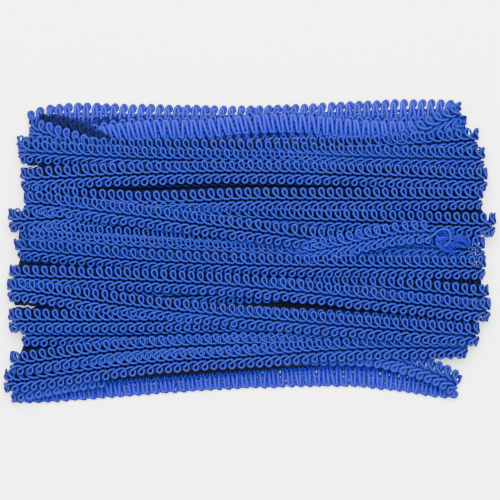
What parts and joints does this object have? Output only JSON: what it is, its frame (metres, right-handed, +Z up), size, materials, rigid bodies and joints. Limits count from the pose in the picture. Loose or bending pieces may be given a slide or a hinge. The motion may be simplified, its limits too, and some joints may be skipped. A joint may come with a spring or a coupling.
{
  "type": "hank of scroll gimp braid trim",
  "caption": "Narrow scroll gimp braid wound round and round and pressed into a flat hank, its front turns lapping at slants, with one loose, frayed end lying on top.",
  "frame": {"origin": "middle of the underside, on the surface that the hank lies on", "axes": "+X along the turns, to the right with the loose end at the right; +Y across the turns, towards the edge above the loose end; +Z up, out of the front turns"},
  "size_m": [0.225, 0.1402, 0.021],
  "materials": {
    "gimp_braid": "royal-blue wrapped rayon cord, matt with a soft sheen",
    "loose_braid": "the same cord, with brighter untwisted floss at its cut end"
  },
  "bodies": {
    "root": {"hank": "gimp_braid", "loose_end": "loose_braid"}
  },
  "joints": []
}
